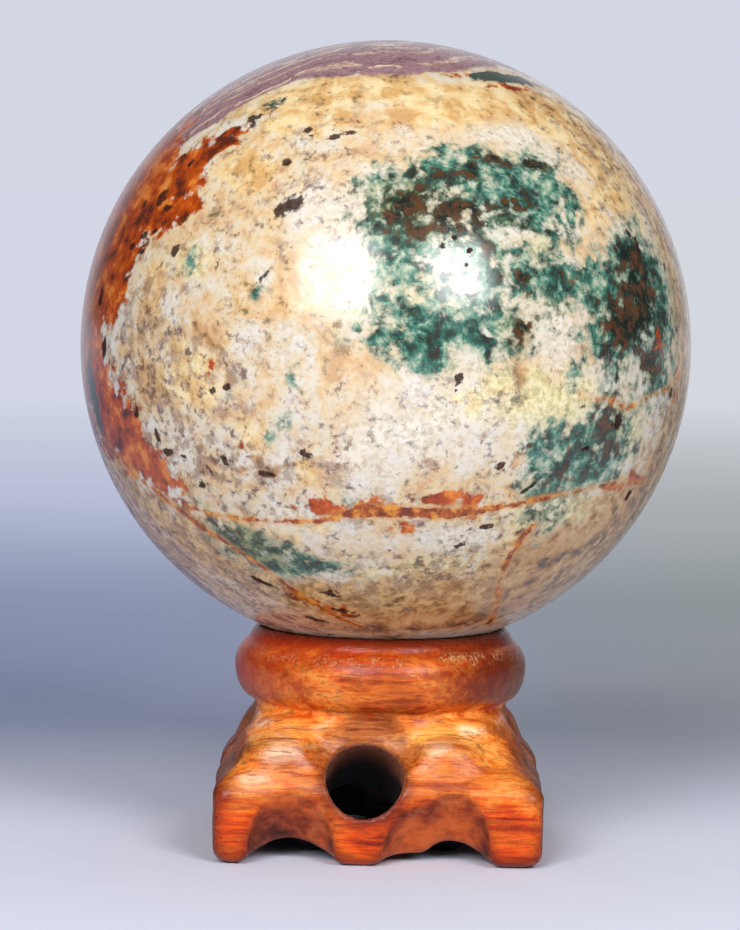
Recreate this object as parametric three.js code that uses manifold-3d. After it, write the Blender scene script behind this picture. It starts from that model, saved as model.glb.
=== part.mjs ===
// Polished stone sphere on a carved wooden stand.
// Millimetres, +Z up. The origin is on the sphere's vertical axis at the floor under the feet, and
// the side of the stand called the front faces -Y. The wood grain runs along X.
import * as THREE from "three";
import { mergeVertices } from "three/addons/utils/BufferGeometryUtils.js";
import Module from "manifold-3d";

const wasm = await Module();
wasm.setup();

// --- driving dimensions ---------------------------------------------------------------------
const SPHERE_RADIUS = 40;
const SPHERE_CENTRE = 65.4; // height of the sphere's centre over the floor
const REST_GAP = 0.3; // clearance between the sphere and the bowl that it rests in

const BLOCK_HALF = 21.2; // half the side of the square block that the stand is cut from
const BOTTOM_EDGE = 1.4; // rounding where the feet meet the floor
const FLARE_LOW = 9.5; // top of the upright faces of the feet
const FLARE_HIGH = 16.5; // height where the flare becomes upright again
const SHOULDER = 18.4; // top of the square part, under the neck
const NECK_RADIUS = 16.9;
const NECK_HEIGHT = 19.2;
const FOOT_SAG = 0.1; // how far each face falls back from its middle to its corners, low down
const BODY_SAG = 2.0; // and higher up, where the corners are ridges running down to the feet
const SAG_RISE = 5.8; // height over which it changes
const CORNER_POWER = 30; // crispness of the upright corners

const RING_RADIUS = 19.2; // the turned ring, at its widest
const RING_HEIGHT = 23.6; // height of that widest line
const RING_UPPER_ARC = 3.9; // radius of the ring's profile above its widest line
const RING_FILLET_HEIGHT = 26.7; // small turned step near the top of the ring
const RING_FILLET_STEP = 0.3;
const LIP_HEIGHT = 28.6; // top edge of the ring, before the bowl is cut
const LIP_RADIUS = 16.2;

const HOLE_RADIUS = 5.0; // one slanting hole drilled in each side
const HOLE_SLOPE = THREE.MathUtils.degToRad(29); // how far it dips on its way in
const HOLE_MOUTH = { inset: 2.6, height: 10.7 }; // point on its axis, inset from the block's face
const HOLE_REACH = 24; // how far the drill goes past that point
const HOLE_VEER = THREE.MathUtils.degToRad(3);
const DISH = { halfWidth: 6.5, halfLength: 4.2, halfDepth: 2.5 }; // gouge over each hole's mouth
const DISH_DEPTH = 0.9;
const DISH_HEIGHT = 14.3;

// Gouge passes that leave three feet on each side: each one's place beside the middle foot, half
// width, height at the block's face, and height where it turns level under the stand. The third
// pass widens the arch on one side of the middle foot.
const GOUGES = [
  { beside: -9.2, halfWidth: 5.3, top: 9.3, lip: 2.7 },
  { beside: 11.6, halfWidth: 4.3, top: 9.6, lip: 2.8 },
  { beside: 7.6, halfWidth: 4.6, top: 7.5, lip: 1.7 },
];
const GOUGE_HALF_DEPTH = 3.4; // across its slanting length
const GOUGE_LIP_INSET = 4.2;
const RECESS_RADIUS = 11; // round hollow under the stand
const RECESS_RIM = 1.6;
const RECESS_CROWN = 3.0;

// Each side is the same carving, turned a quarter each time, with its middle a little off centre
// because the work is done by eye.
const SIDE_OFFSETS = [-1.8, 0.9, -0.8, 1.4];

const ROUND_STEPS = 64; // sides of the lofted and turned surfaces

// --- solids and booleans ----------------------------------------------------------------------
function solid(geometry) {
  const plain = geometry.clone();
  plain.deleteAttribute("normal");
  plain.deleteAttribute("uv");
  const merged = mergeVertices(plain, 1e-4);
  return new wasm.Manifold(
    new wasm.Mesh({
      numProp: 3,
      vertProperties: merged.attributes.position.array,
      triVerts: new Uint32Array(merged.index.array),
    }),
  );
}

function geometryOf(made) {
  const mesh = made.getMesh();
  const geometry = new THREE.BufferGeometry();
  const points = new Float32Array(mesh.numVert * 3);
  for (let i = 0; i < mesh.numVert; i++) {
    points.set(mesh.vertProperties.subarray(i * mesh.numProp, i * mesh.numProp + 3), i * 3);
  }
  geometry.setAttribute("position", new THREE.BufferAttribute(points, 3));
  geometry.setIndex(new THREE.BufferAttribute(mesh.triVerts, 1));
  return geometry;
}

// A turned solid: a profile of [radius, height] points from bottom to top, about the Z axis.
function turned(profile, steps = ROUND_STEPS) {
  const points = profile.map(([radius, height]) => new THREE.Vector2(radius, height));
  return new THREE.LatheGeometry(points, steps).rotateX(Math.PI / 2);
}

// --- the block, flare, neck and ring as one lofted shell --------------------------------------
const smooth = (t) => THREE.MathUtils.smoothstep(t, 0, 1);

// Half width of the stand across its faces at a height, up to the shoulder.
function faceHalfWidth(height) {
  const up = (height - FLARE_LOW) / (FLARE_HIGH - FLARE_LOW);
  const flare = BLOCK_HALF - (BLOCK_HALF - NECK_RADIUS) * smooth(up);
  const rise = Math.min(height, BOTTOM_EDGE);
  const rounding = BOTTOM_EDGE - Math.sqrt(BOTTOM_EDGE ** 2 - (BOTTOM_EDGE - rise) ** 2);
  return flare - rounding;
}

// How far a face falls back at its corners, at a height.
function faceSag(height) {
  const up = THREE.MathUtils.clamp((height - FLARE_LOW) / SAG_RISE, 0, 1);
  return FOOT_SAG + (BODY_SAG - FOOT_SAG) * up;
}

// Distance from the axis to a gently bowed face, for a ray that runs `across` towards the face and
// `along` beside it.
function faceReach(across, along, half, sag) {
  const bow = (sag * along * along) / (half * half);
  if (bow < 1e-9) return half / Math.max(across, 1e-9);
  return (Math.sqrt(across * across + 4 * bow * half) - across) / (2 * bow);
}

// Radius of a level section at a turn about the axis. roundness 0 is the bowed square, 1 a circle.
function sectionRadius(turn, { half, sag, roundness }) {
  const c = Math.abs(Math.cos(turn));
  const s = Math.abs(Math.sin(turn));
  const sideways = faceReach(c, s, half, sag) ** -CORNER_POWER;
  const forwards = faceReach(s, c, half, sag) ** -CORNER_POWER;
  const square = (sideways + forwards) ** (-1 / CORNER_POWER);
  return THREE.MathUtils.lerp(square, half, roundness);
}

function ringRadius(height) {
  const above = height - RING_HEIGHT;
  if (above < 0) {
    // below its widest line the ring falls away along a quarter of an ellipse into the neck
    const t = above / (RING_HEIGHT - NECK_HEIGHT);
    return NECK_RADIUS + (RING_RADIUS - NECK_RADIUS) * Math.sqrt(1 - t * t);
  }
  return RING_RADIUS - RING_UPPER_ARC + Math.sqrt(RING_UPPER_ARC ** 2 - above ** 2);
}

// Level sections of the shell, from the floor up.
function shellSections() {
  const sections = [];
  const carved = (height) =>
    sections.push({ height, half: faceHalfWidth(height), sag: faceSag(height), roundness: 0 });
  const round = (height, half, roundness = 1) =>
    sections.push({ height, half, sag: BODY_SAG, roundness });

  for (const height of [0, BOTTOM_EDGE * 0.25, BOTTOM_EDGE, FLARE_LOW]) carved(height);
  const flareRows = 6;
  for (let i = 1; i <= flareRows; i++) {
    carved(FLARE_LOW + ((FLARE_HIGH - FLARE_LOW) * i) / flareRows);
  }
  round(SHOULDER - 0.6, NECK_RADIUS, 0);
  round(SHOULDER, NECK_RADIUS - 0.1, 0.25);
  round(SHOULDER + 0.3, NECK_RADIUS - 0.1, 0.8);
  round(NECK_HEIGHT, NECK_RADIUS);
  const lowerRows = 5;
  for (let i = 1; i <= lowerRows; i++) {
    const turn = (Math.PI / 2) * (i / lowerRows);
    const height = RING_HEIGHT - (RING_HEIGHT - NECK_HEIGHT) * Math.cos(turn);
    round(height, ringRadius(height));
  }
  const upperRows = 3;
  for (let i = 1; i <= upperRows; i++) {
    const height = RING_HEIGHT + ((RING_FILLET_HEIGHT - RING_HEIGHT) * i) / upperRows;
    round(height, ringRadius(height));
  }
  const fillet = ringRadius(RING_FILLET_HEIGHT) - RING_FILLET_STEP;
  round(RING_FILLET_HEIGHT + 0.15, fillet);
  round(LIP_HEIGHT - 1.0, fillet - 0.25);
  round(LIP_HEIGHT, LIP_RADIUS);
  return sections;
}

function shell() {
  const sections = shellSections();
  const points = [];
  for (const section of sections) {
    for (let i = 0; i < ROUND_STEPS; i++) {
      const turn = (2 * Math.PI * i) / ROUND_STEPS;
      const radius = sectionRadius(turn, section);
      points.push(radius * Math.cos(turn), radius * Math.sin(turn), section.height);
    }
  }
  const faces = [];
  const last = sections.length - 1;
  for (let row = 0; row < last; row++) {
    for (let i = 0; i < ROUND_STEPS; i++) {
      const next = (i + 1) % ROUND_STEPS;
      const a = row * ROUND_STEPS + i;
      const b = row * ROUND_STEPS + next;
      const c = a + ROUND_STEPS;
      const d = b + ROUND_STEPS;
      faces.push(a, b, d, a, d, c);
    }
  }
  const base = points.length / 3;
  points.push(0, 0, sections[0].height, 0, 0, sections[last].height);
  for (let i = 0; i < ROUND_STEPS; i++) {
    const next = (i + 1) % ROUND_STEPS;
    faces.push(base, next, i);
    faces.push(base + 1, last * ROUND_STEPS + i, last * ROUND_STEPS + next);
  }
  const geometry = new THREE.BufferGeometry();
  geometry.setAttribute("position", new THREE.Float32BufferAttribute(points, 3));
  geometry.setIndex(faces);
  return geometry;
}

// --- cutters ------------------------------------------------------------------------------------
// The hollow that the sphere rests in: the bottom of a slightly larger ball.
function bowl() {
  const radius = SPHERE_RADIUS + REST_GAP;
  const reach = Math.asin((LIP_RADIUS + 3) / radius);
  const rows = 6;
  const profile = [];
  for (let i = 0; i <= rows; i++) {
    const turn = (reach * i) / rows;
    profile.push([radius * Math.sin(turn), SPHERE_CENTRE - radius * Math.cos(turn)]);
  }
  profile.push([0, SPHERE_CENTRE]);
  return turned(profile);
}

// The round hollow under the stand, a little domed.
function recess() {
  const rows = 4;
  const profile = [
    [0, -1],
    [RECESS_RADIUS, -1],
  ];
  for (let i = 0; i <= rows; i++) {
    const turn = (Math.PI / 2) * (i / rows);
    const height = RECESS_RIM + (RECESS_CROWN - RECESS_RIM) * Math.sin(turn);
    profile.push([RECESS_RADIUS * Math.cos(turn), height]);
  }
  profile[profile.length - 1][0] = 0;
  return turned(profile, 28);
}

// A hole that dips inwards, drilled in the front.
function drill(offset) {
  const start = -8;
  const length = HOLE_REACH - start;
  const geometry = new THREE.CylinderGeometry(HOLE_RADIUS, HOLE_RADIUS, length, 24);
  geometry.translate(0, start + length / 2, 0);
  geometry.rotateX(-HOLE_SLOPE);
  geometry.rotateZ(HOLE_VEER);
  geometry.translate(offset, HOLE_MOUTH.inset - BLOCK_HALF, HOLE_MOUTH.height);
  return geometry;
}

// A shallow spoon gouge in the slope above the hole, facing out and up as the slope does.
function dish(offset) {
  const proud = DISH.halfDepth - DISH_DEPTH;
  const geometry = new THREE.SphereGeometry(1, 20, 12);
  geometry.scale(DISH.halfWidth, DISH.halfDepth, DISH.halfLength);
  geometry.rotateX(-HOLE_SLOPE);
  geometry.translate(
    offset,
    -faceHalfWidth(DISH_HEIGHT) - proud * Math.cos(HOLE_SLOPE),
    DISH_HEIGHT + proud * Math.sin(HOLE_SLOPE),
  );
  return geometry;
}

// One pass between two feet: a slanting elliptical cut, then a low level one running in.
function gouge(offset, { beside, halfWidth, top, lip }) {
  const centre = offset + beside;
  const slope = Math.atan2(top - lip, GOUGE_LIP_INSET);
  const steep = new THREE.CylinderGeometry(1, 1, 22, 16);
  steep.scale(halfWidth, 1, GOUGE_HALF_DEPTH);
  steep.rotateX(-slope);
  // the top of the slanting cut crosses the face at that pass's own top
  steep.translate(centre, -BLOCK_HALF, top - GOUGE_HALF_DEPTH / Math.cos(slope));
  const low = new THREE.CylinderGeometry(1, 1, 12, 12);
  low.scale(halfWidth - 0.4, 1, lip);
  low.translate(centre, -BLOCK_HALF + 4, 0);
  return [steep, low];
}

function stand() {
  let cuts = solid(bowl()).add(solid(recess()));
  SIDE_OFFSETS.forEach((offset, side) => {
    const cutters = [drill(offset), dish(offset)];
    for (const pass of GOUGES) cutters.push(...gouge(offset, pass));
    for (const cutter of cutters) {
      cutter.rotateZ((side * Math.PI) / 2);
      cuts = cuts.add(solid(cutter));
    }
  });
  return solid(shell()).subtract(cuts);
}

// --- the assembly ---------------------------------------------------------------------------------
const stone = new THREE.MeshStandardMaterial({ color: 0xcdbf9f, roughness: 0.12, metalness: 0 });
const wood = new THREE.MeshStandardMaterial({ color: 0xb9592a, roughness: 0.42, metalness: 0 });

const sphere = new THREE.Mesh(
  new THREE.SphereGeometry(SPHERE_RADIUS, 48, 32).rotateX(Math.PI / 2),
  stone,
);
sphere.name = "stone_sphere";
sphere.position.z = SPHERE_CENTRE;

const base = new THREE.Mesh(geometryOf(stand()), wood);
base.name = "wooden_stand";

const ornament = new THREE.Group();
ornament.add(base, sphere);
export default ornament;
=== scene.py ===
"""Polished stone sphere on a carved wooden stand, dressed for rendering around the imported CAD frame.

The stand is carved again at a fine grain as a signed distance field. Its sizes are nearly those of
its solid, and it has softer edges and a few low lobes besides. The sphere gets a fine mesh whose
mineral zones are fields worked out at its vertices. Lengths are in millimetres until a mesh or an
object is made, and then in metres.
"""
import math

import bpy
import numpy as np
from mathutils import Matrix, Vector


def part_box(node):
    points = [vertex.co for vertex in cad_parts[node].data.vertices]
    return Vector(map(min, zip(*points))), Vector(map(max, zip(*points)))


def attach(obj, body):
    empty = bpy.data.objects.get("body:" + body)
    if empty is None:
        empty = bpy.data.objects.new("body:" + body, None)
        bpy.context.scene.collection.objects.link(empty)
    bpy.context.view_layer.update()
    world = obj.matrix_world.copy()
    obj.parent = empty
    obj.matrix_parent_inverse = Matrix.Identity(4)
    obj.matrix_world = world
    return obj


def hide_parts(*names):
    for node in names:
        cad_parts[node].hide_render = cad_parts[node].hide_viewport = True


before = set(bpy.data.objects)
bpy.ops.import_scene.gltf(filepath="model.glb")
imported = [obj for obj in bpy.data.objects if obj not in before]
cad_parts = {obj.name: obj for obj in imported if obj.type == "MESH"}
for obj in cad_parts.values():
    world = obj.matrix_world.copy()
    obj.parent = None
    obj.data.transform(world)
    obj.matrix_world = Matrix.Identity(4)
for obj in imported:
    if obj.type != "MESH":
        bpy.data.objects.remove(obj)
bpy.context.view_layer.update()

MM = 0.001


# --- sizes, from the frame where it has them ---
def box_mm(node):
    low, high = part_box(node)
    return np.array(low) / MM, np.array(high) / MM


ball_low, ball_high = box_mm("stone_sphere")
SPHERE_RADIUS = float(ball_high[2] - ball_low[2]) / 2
SPHERE_CENTRE = float(ball_high[2] + ball_low[2]) / 2
BLOCK_HALF = float(box_mm("wooden_stand")[1][0])
REST_GAP = 0.12  # the real sphere touches the wood; the solids keep a little more between them

FLARE_LOW, FLARE_HIGH = 9.0, 16.5
SHOULDER = 18.4
NECK_RADIUS, NECK_HEIGHT = 16.9, 19.2
FOOT_SAG, BODY_SAG, SAG_RISE = 0.1, 2.0, 5.8

RING_RADIUS, RING_HEIGHT = 19.2, 23.6
RING_UPPER_ARC = 3.9
RING_FILLET_HEIGHT, RING_FILLET_STEP = 26.7, 0.3
LIP_HEIGHT, LIP_RADIUS = 28.6, 16.2
LIP_EDGE = 1.0  # height of the soft edge between the fillet and the bowl
TURNED_FROM = 12  # height inside the block where the turned part starts

HOLE_RADIUS = 5.0
HOLE_SLOPE = math.radians(29)
HOLE_VEER = math.radians(3)
HOLE_INSET, HOLE_HEIGHT = 2.6, 10.7
HOLE_REACH = 24
DISH_SIZE = (7.2, 2.8, 4.4)
DISH_DEPTH, DISH_HEIGHT = 1.15, 14.5

# Rounded lobes on the slope, left and right of each hole: their places beside it, their size, how
# far out they lie on each of the four sides, and their height.
HUMPS = (-10.6, 10.2)
HUMP_SIZE = (5.6, 3.4, 4.2)
HUMP_REACHES = (16.4, 15.4, 16.0, 15.4)
HUMP_HEIGHT = 12.6

# Painted highlight, pale patches where the light falls on the slope: place beside the hole, height,
# half width and half height. Each side has its own, no nearer to the middle of the stand than the
# distance set just below.
PAINTED_HIGHLIGHT_FROM = 9
PAINTED_HIGHLIGHTS = (
    (-10.5, 14.3, 3.6, 1.7),
    (9.4, 15.0, 2.6, 1.0),
    (13.0, 17.0, 1.6, 0.8),
    (-14.5, 10.6, 2.4, 0.9),
)

# Each gouge pass: its place beside the middle foot, half width, and its heights at the face and
# at the lip where it turns level under the stand.
SCOOPS = (
    (-9.2, 5.3, 9.3, 2.7),
    (11.6, 4.3, 9.6, 2.8),
    (7.4, 4.8, 7.5, 1.0),
)
SCOOP_HALF_DEPTH = 3.4
SCOOP_LIP_INSET = 4.2
SCOOP_LIP_NARROWER = 0.4
SCOOP_RUN = 10  # how far each pass runs in under the stand
RECESS_RADIUS, RECESS_RIM, RECESS_CROWN = 11, 1.6, 3.0
SIDE_OFFSETS = (-1.8, 0.9, -0.8, 1.4)

# How far each edge or inside corner is rounded.
CORNER_ROUND, SHOULDER_ROUND, FOOT_ROUND = 2.0, 2.4, 2.4
HUMP_ROUND, NECK_ROUND = 1.6, 1.3
RECESS_ROUND, DISH_ROUND, SCOOP_ROUND, HOLE_ROUND = 0.8, 0.8, 0.7, 0.5
SCOOP_BLEND = 0.6  # between two gouge passes, and between a pass and its lip

# Unevenness left by hand work: height, wavelength and seed.
BODY_RIPPLES = ((0.13, 13, 3), (0.07, 5, 4))
SCOOP_RIPPLE = (0.15, 6, 5)

HOLLOW_BLUR = 1.2  # size of the hollows that are darkened as painted shade
SKIN = 2.5  # depth under the faces from which the wood counts as inside
FAR = 9  # a distance field's value where nothing is near
CELL = 0.4  # grain of the carving


# --- the stand as a distance field ---
def smooth(t):
    t = np.clip(t, 0, 1)
    return t * t * (3 - 2 * t)


def join(a, b, k):
    """Union of two fields, with an inside fillet of about k."""
    h = np.clip(0.5 + 0.5 * (b - a) / k, 0, 1)
    return b * (1 - h) + a * h - k * h * (1 - h)


def cut(a, b, k):
    """Field a with b taken away, its edge rounded by about k."""
    return -join(-a, b, k)


def meet(a, b, k):
    return -join(-a, -b, k)


def ellipsoid(x, y, z, a, b, c):
    outer = np.sqrt((x / a) ** 2 + (y / b) ** 2 + (z / c) ** 2) + 1e-6
    slope = np.sqrt((x / a**2) ** 2 + (y / b**2) ** 2 + (z / c**2) ** 2) + 1e-6
    return outer * (outer - 1) / slope


def ripple(x, y, z, wavelength, seed, waves=7):
    """A smooth random field of about 1 either way."""
    rng = np.random.default_rng(seed)
    total = 0
    for _ in range(waves):
        way = rng.normal(size=3)
        way *= 2 * math.pi / wavelength * rng.uniform(0.7, 1.3) / np.linalg.norm(way)
        total = total + np.sin(way[0] * x + way[1] * y + way[2] * z + rng.uniform(0, 6.28))
    return total / math.sqrt(waves * 2)


def face_half_width(z):
    up = (z - FLARE_LOW) / (FLARE_HIGH - FLARE_LOW)
    return BLOCK_HALF - (BLOCK_HALF - NECK_RADIUS) * smooth(up)


def block(x, y, z):
    half = face_half_width(z)
    rise = np.clip((z - FLARE_LOW) / SAG_RISE, 0, 1)
    bow = (FOOT_SAG + (BODY_SAG - FOOT_SAG) * rise) / half**2
    steep = np.gradient(half, axis=2) / CELL
    slope = np.sqrt(1 + steep**2)
    sideways = (np.abs(x) + bow * y * y - half) / slope
    forwards = (np.abs(y) + bow * x * x - half) / slope
    body = meet(sideways, forwards, CORNER_ROUND)
    return meet(body, z - SHOULDER, SHOULDER_ROUND)


def hump(x, y, z, centre, reach):
    """One of the two rounded lobes that the carver left on the slope, each side of the hole."""
    a, b, c = HUMP_SIZE
    return ellipsoid(x - centre, y + reach, z - HUMP_HEIGHT, a, b, c)


def ring_profile():
    """Outline of the turned part in radius and height, from inside the block up to the bowl."""
    points = [(0, TURNED_FROM), (NECK_RADIUS - 0.5, TURNED_FROM), (NECK_RADIUS - 0.1, SHOULDER)]
    lower, upper, bowl = 14, 10, 24
    for i in range(lower + 1):
        turn = math.pi / 2 * i / lower
        out = math.sin(turn)
        height = RING_HEIGHT - (RING_HEIGHT - NECK_HEIGHT) * math.cos(turn)
        points.append((NECK_RADIUS + (RING_RADIUS - NECK_RADIUS) * out, height))
    for i in range(1, upper + 1):
        above = (RING_FILLET_HEIGHT - RING_HEIGHT) * i / upper
        radius = RING_RADIUS - RING_UPPER_ARC + math.sqrt(RING_UPPER_ARC**2 - above**2)
        points.append((radius, RING_HEIGHT + above))
    fillet = points[-1][0] - RING_FILLET_STEP
    points.append((fillet, RING_FILLET_HEIGHT + 0.15))
    points.append((fillet - 0.25, LIP_HEIGHT - LIP_EDGE))
    radius = SPHERE_RADIUS + REST_GAP
    reach = math.asin(LIP_RADIUS / radius)
    for i in range(bowl + 1):
        turn = reach * (1 - i / bowl)
        points.append((radius * math.sin(turn), SPHERE_CENTRE - radius * math.cos(turn)))
    return np.array(points)


def polygon_distance(points, u, v):
    """Signed distance in the plane to a closed outline, negative inside."""
    best = np.full(u.shape, np.inf)
    inside = np.zeros(u.shape, bool)
    for (ax, ay), (bx, by) in zip(points, np.roll(points, -1, axis=0)):
        ex, ey = bx - ax, by - ay
        if ax > 1e-6 or bx > 1e-6:  # the axis itself is no surface
            t = np.clip(((u - ax) * ex + (v - ay) * ey) / (ex * ex + ey * ey), 0, 1)
            best = np.minimum(best, np.hypot(u - ax - t * ex, v - ay - t * ey))
        if ay != by:
            crossed = (ay > v) != (by > v)
            inside ^= crossed & (u < ax + (v - ay) / (by - ay) * ex)
    return np.where(inside, -best, best)


def turned(x, y, z):
    reach = np.arange(0, 33, CELL / 2)
    heights = z[0, 0, :]
    u, v = np.meshgrid(reach, heights, indexing="ij")
    table = polygon_distance(ring_profile(), u, v)
    radius = np.hypot(x, y)[:, :, 0] / (CELL / 2)
    low = radius.astype(int)
    part = (radius - low)[:, :, None]
    return table[low] * (1 - part) + table[low + 1] * part


def hole(x, y, z, offset):
    """The slanting hole of the front, as a field in the front's own place."""
    px, py, pz = x - offset, y + BLOCK_HALF - HOLE_INSET, z - HOLE_HEIGHT
    way = np.array([-math.sin(HOLE_VEER), math.cos(HOLE_VEER), 0]) * math.cos(HOLE_SLOPE)
    way[2] = -math.sin(HOLE_SLOPE)
    along = px * way[0] + py * way[1] + pz * way[2]
    across = np.sqrt(np.maximum(px**2 + py**2 + pz**2 - along**2, 0)) - HOLE_RADIUS
    return np.maximum(across, along - HOLE_REACH)


def dish(x, y, z, offset):
    a, b, c = DISH_SIZE
    proud = b - DISH_DEPTH
    px = x - offset
    py = y + face_half_width(DISH_HEIGHT) + proud * math.cos(HOLE_SLOPE)
    pz = z - DISH_HEIGHT - proud * math.sin(HOLE_SLOPE)
    cs, sn = math.cos(HOLE_SLOPE), math.sin(HOLE_SLOPE)
    return ellipsoid(px, py * cs - pz * sn, py * sn + pz * cs, a, b, c)


def scoop(x, y, z, centre, half, top, lip):
    slope = math.atan2(top - lip, SCOOP_LIP_INSET)
    py = y + BLOCK_HALF
    pz = z - top + SCOOP_HALF_DEPTH / math.cos(slope)
    across = py * math.sin(slope) + pz * math.cos(slope)
    nothing = 0 * x
    steep = ellipsoid(x - centre, nothing, across, half, 1, SCOOP_HALF_DEPTH)
    low = ellipsoid(x - centre, nothing, z, half - SCOOP_LIP_NARROWER, 1, lip)
    low = np.maximum(low, y + BLOCK_HALF - SCOOP_RUN)
    return join(steep, low, SCOOP_BLEND)


def recess(x, y, z):
    radius = np.hypot(x, y)
    crown = np.sqrt(np.clip(1 - (radius / RECESS_RADIUS) ** 2, 0, 1))
    ceiling = RECESS_RIM + (RECESS_CROWN - RECESS_RIM) * crown
    return meet(radius - RECESS_RADIUS, z - ceiling, RECESS_ROUND)


def blurred(field, width):
    """The field averaged over a bell of this width in millimetres, along each axis in turn."""
    reach = int(math.ceil(2.5 * width / CELL))
    bell = np.exp(-0.5 * (np.arange(-reach, reach + 1) * CELL / width) ** 2)
    bell /= bell.sum()
    for axis in range(3):
        padded = np.pad(field, [(reach, reach) if a == axis else (0, 0) for a in range(3)], "edge")
        size = field.shape[axis]
        parts = [np.take(padded, range(i, i + size), axis) * b for i, b in enumerate(bell)]
        field = sum(parts)
    return field


def stand_field():
    margin = 3 * CELL
    across = np.arange(-BLOCK_HALF - margin, BLOCK_HALF + margin + CELL, CELL)
    up = np.arange(-margin, LIP_HEIGHT + margin + CELL, CELL)
    x, y, z = (g.astype(np.float32) for g in np.meshgrid(across, across, up, indexing="ij"))
    field = block(x, y, z)
    gouged = np.full_like(field, FAR)
    bored = np.full_like(field, FAR)
    dished = np.full_like(field, FAR)
    painted_highlight = np.zeros_like(field)
    for side, offset in enumerate(SIDE_OFFSETS):
        c, s = (1, 0, -1, 0)[side], (0, 1, 0, -1)[side]
        sx, sy = c * x + s * y, c * y - s * x
        for place in HUMPS:
            lobe = hump(sx, sy, z, offset + place, HUMP_REACHES[side])
            field = join(field, lobe, HUMP_ROUND)
        dished = np.minimum(dished, dish(sx, sy, z, offset))
        # painted highlight: pale patches where the light falls on the slope
        for place, height, wide, tall in PAINTED_HIGHLIGHTS:
            near = ((sx - offset - place) / wide) ** 2 + ((z - height) / tall) ** 2
            painted_highlight = np.maximum(painted_highlight, np.exp(-near) * (sy < -PAINTED_HIGHLIGHT_FROM))
        for place, half, top, lip in SCOOPS:
            gouged = join(gouged, scoop(sx, sy, z, offset + place, half, top, lip), SCOOP_BLEND)
        bored = np.minimum(bored, hole(sx, sy, z, offset))
    for height, wavelength, seed in BODY_RIPPLES:
        field = field + height * ripple(x, y, z, wavelength, seed)
    field = join(field, turned(x, y, z), NECK_ROUND)
    field = cut(field, recess(x, y, z), RECESS_ROUND)
    field = cut(field, dished, DISH_ROUND)
    height, wavelength, seed = SCOOP_RIPPLE
    field = cut(field, gouged + height * ripple(x, y, z, wavelength, seed), SCOOP_ROUND)
    field = meet(field, -z, FOOT_ROUND)
    field = cut(field, bored, HOLE_ROUND)
    origin = np.array([across[0], across[0], up[0]])
    marks = {
        "gouged": gouged,
        "bored": bored,
        "dished": dished,
        "deep": BLOCK_HALF - SKIN - np.maximum(np.abs(x), np.abs(y)),
        "end": np.abs(np.gradient(field, CELL, axis=0)),  # near 1 where the surface faces along X
        "painted_highlight": painted_highlight,
    }
    return field, origin, marks


def surface_net(field, origin):
    """Vertices in millimetres and quads on the zero level of a field that is negative inside."""
    size = np.array(field.shape)
    cells = tuple(size - 1)
    count = np.zeros(cells)
    total = np.zeros(cells + (3,))
    crossings = []
    for axis in range(3):
        others = [a for a in range(3) if a != axis]
        low = np.take(field, range(size[axis] - 1), axis)
        high = np.take(field, range(1, size[axis]), axis)
        crossing = (low < 0) != (high < 0)
        crossings.append((crossing, low < 0))
        part = np.where(crossing, low / np.where(low == high, 1, low - high), 0)
        for p in (0, 1):
            for q in (0, 1):
                window = [slice(None)] * 3
                window[others[0]] = slice(p, p + cells[others[0]])
                window[others[1]] = slice(q, q + cells[others[1]])
                window = tuple(window)
                count += crossing[window]
                total[..., axis] += part[window]
                total[..., others[0]] += p * crossing[window]
                total[..., others[1]] += q * crossing[window]
    used = count > 0
    number = np.full(cells, -1)
    number[used] = np.arange(used.sum())
    place = np.argwhere(used) + total[used] / count[used][:, None]
    quads = []
    for axis in range(3):
        b, c = (axis + 1) % 3, (axis + 2) % 3
        crossing, low_inside = crossings[axis]
        at = np.argwhere(crossing)
        keep = (at[:, b] > 0) & (at[:, c] > 0) & (at[:, b] < size[b] - 1) & (at[:, c] < size[c] - 1)
        at = at[keep]
        outward = low_inside[tuple(at.T)]
        corners = []
        for db, dc in ((1, 1), (0, 1), (0, 0), (1, 0)):
            cell = at.copy()
            cell[:, b] -= db
            cell[:, c] -= dc
            corners.append(number[tuple(cell.T)])
        made = np.stack(corners, 1)
        made[~outward] = made[~outward][:, ::-1]
        quads.append(made)
    return origin + place * CELL, np.concatenate(quads)


def sampled(field, origin, points):
    """The field at points, read between its grid's corners."""
    at = (points - origin) / CELL
    low = np.clip(at.astype(int), 0, np.array(field.shape) - 2)
    part = at - low
    total = 0
    for corner in np.ndindex(2, 2, 2):
        share = np.prod(np.where(np.array(corner), part, 1 - part), axis=1)
        total = total + share * field[tuple((low + corner).T)]
    return total


def mesh_object(name, points, faces, fields):
    """A smooth-shaded object in metres, with a float attribute for each named field."""
    mesh = bpy.data.meshes.new(name)
    mesh.from_pydata((points * MM).tolist(), [], faces.tolist())
    mesh.shade_smooth()
    for label, values in fields.items():
        attribute = mesh.attributes.new(label, "FLOAT", "POINT")
        attribute.data.foreach_set("value", np.ascontiguousarray(values, np.float32))
    made = bpy.data.objects.new(name, mesh)
    bpy.context.scene.collection.objects.link(made)
    return made


def make_stand():
    field, origin, marks = stand_field()
    # how far each place lies in a hollow, used for painted shade
    marks["hollow"] = blurred(field, HOLLOW_BLUR) - field
    points, quads = surface_net(field, origin)
    values = {name: sampled(mark, origin, points) for name, mark in marks.items()}
    stand = mesh_object("stand_carved", points, quads, values)
    stand.data.materials.append(wood_material())
    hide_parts("wooden_stand")
    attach(stand, "root")


# --- the sphere ---
SPHERE_STEPS = 124  # quads along each edge of the cube that the ball is made from


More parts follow.
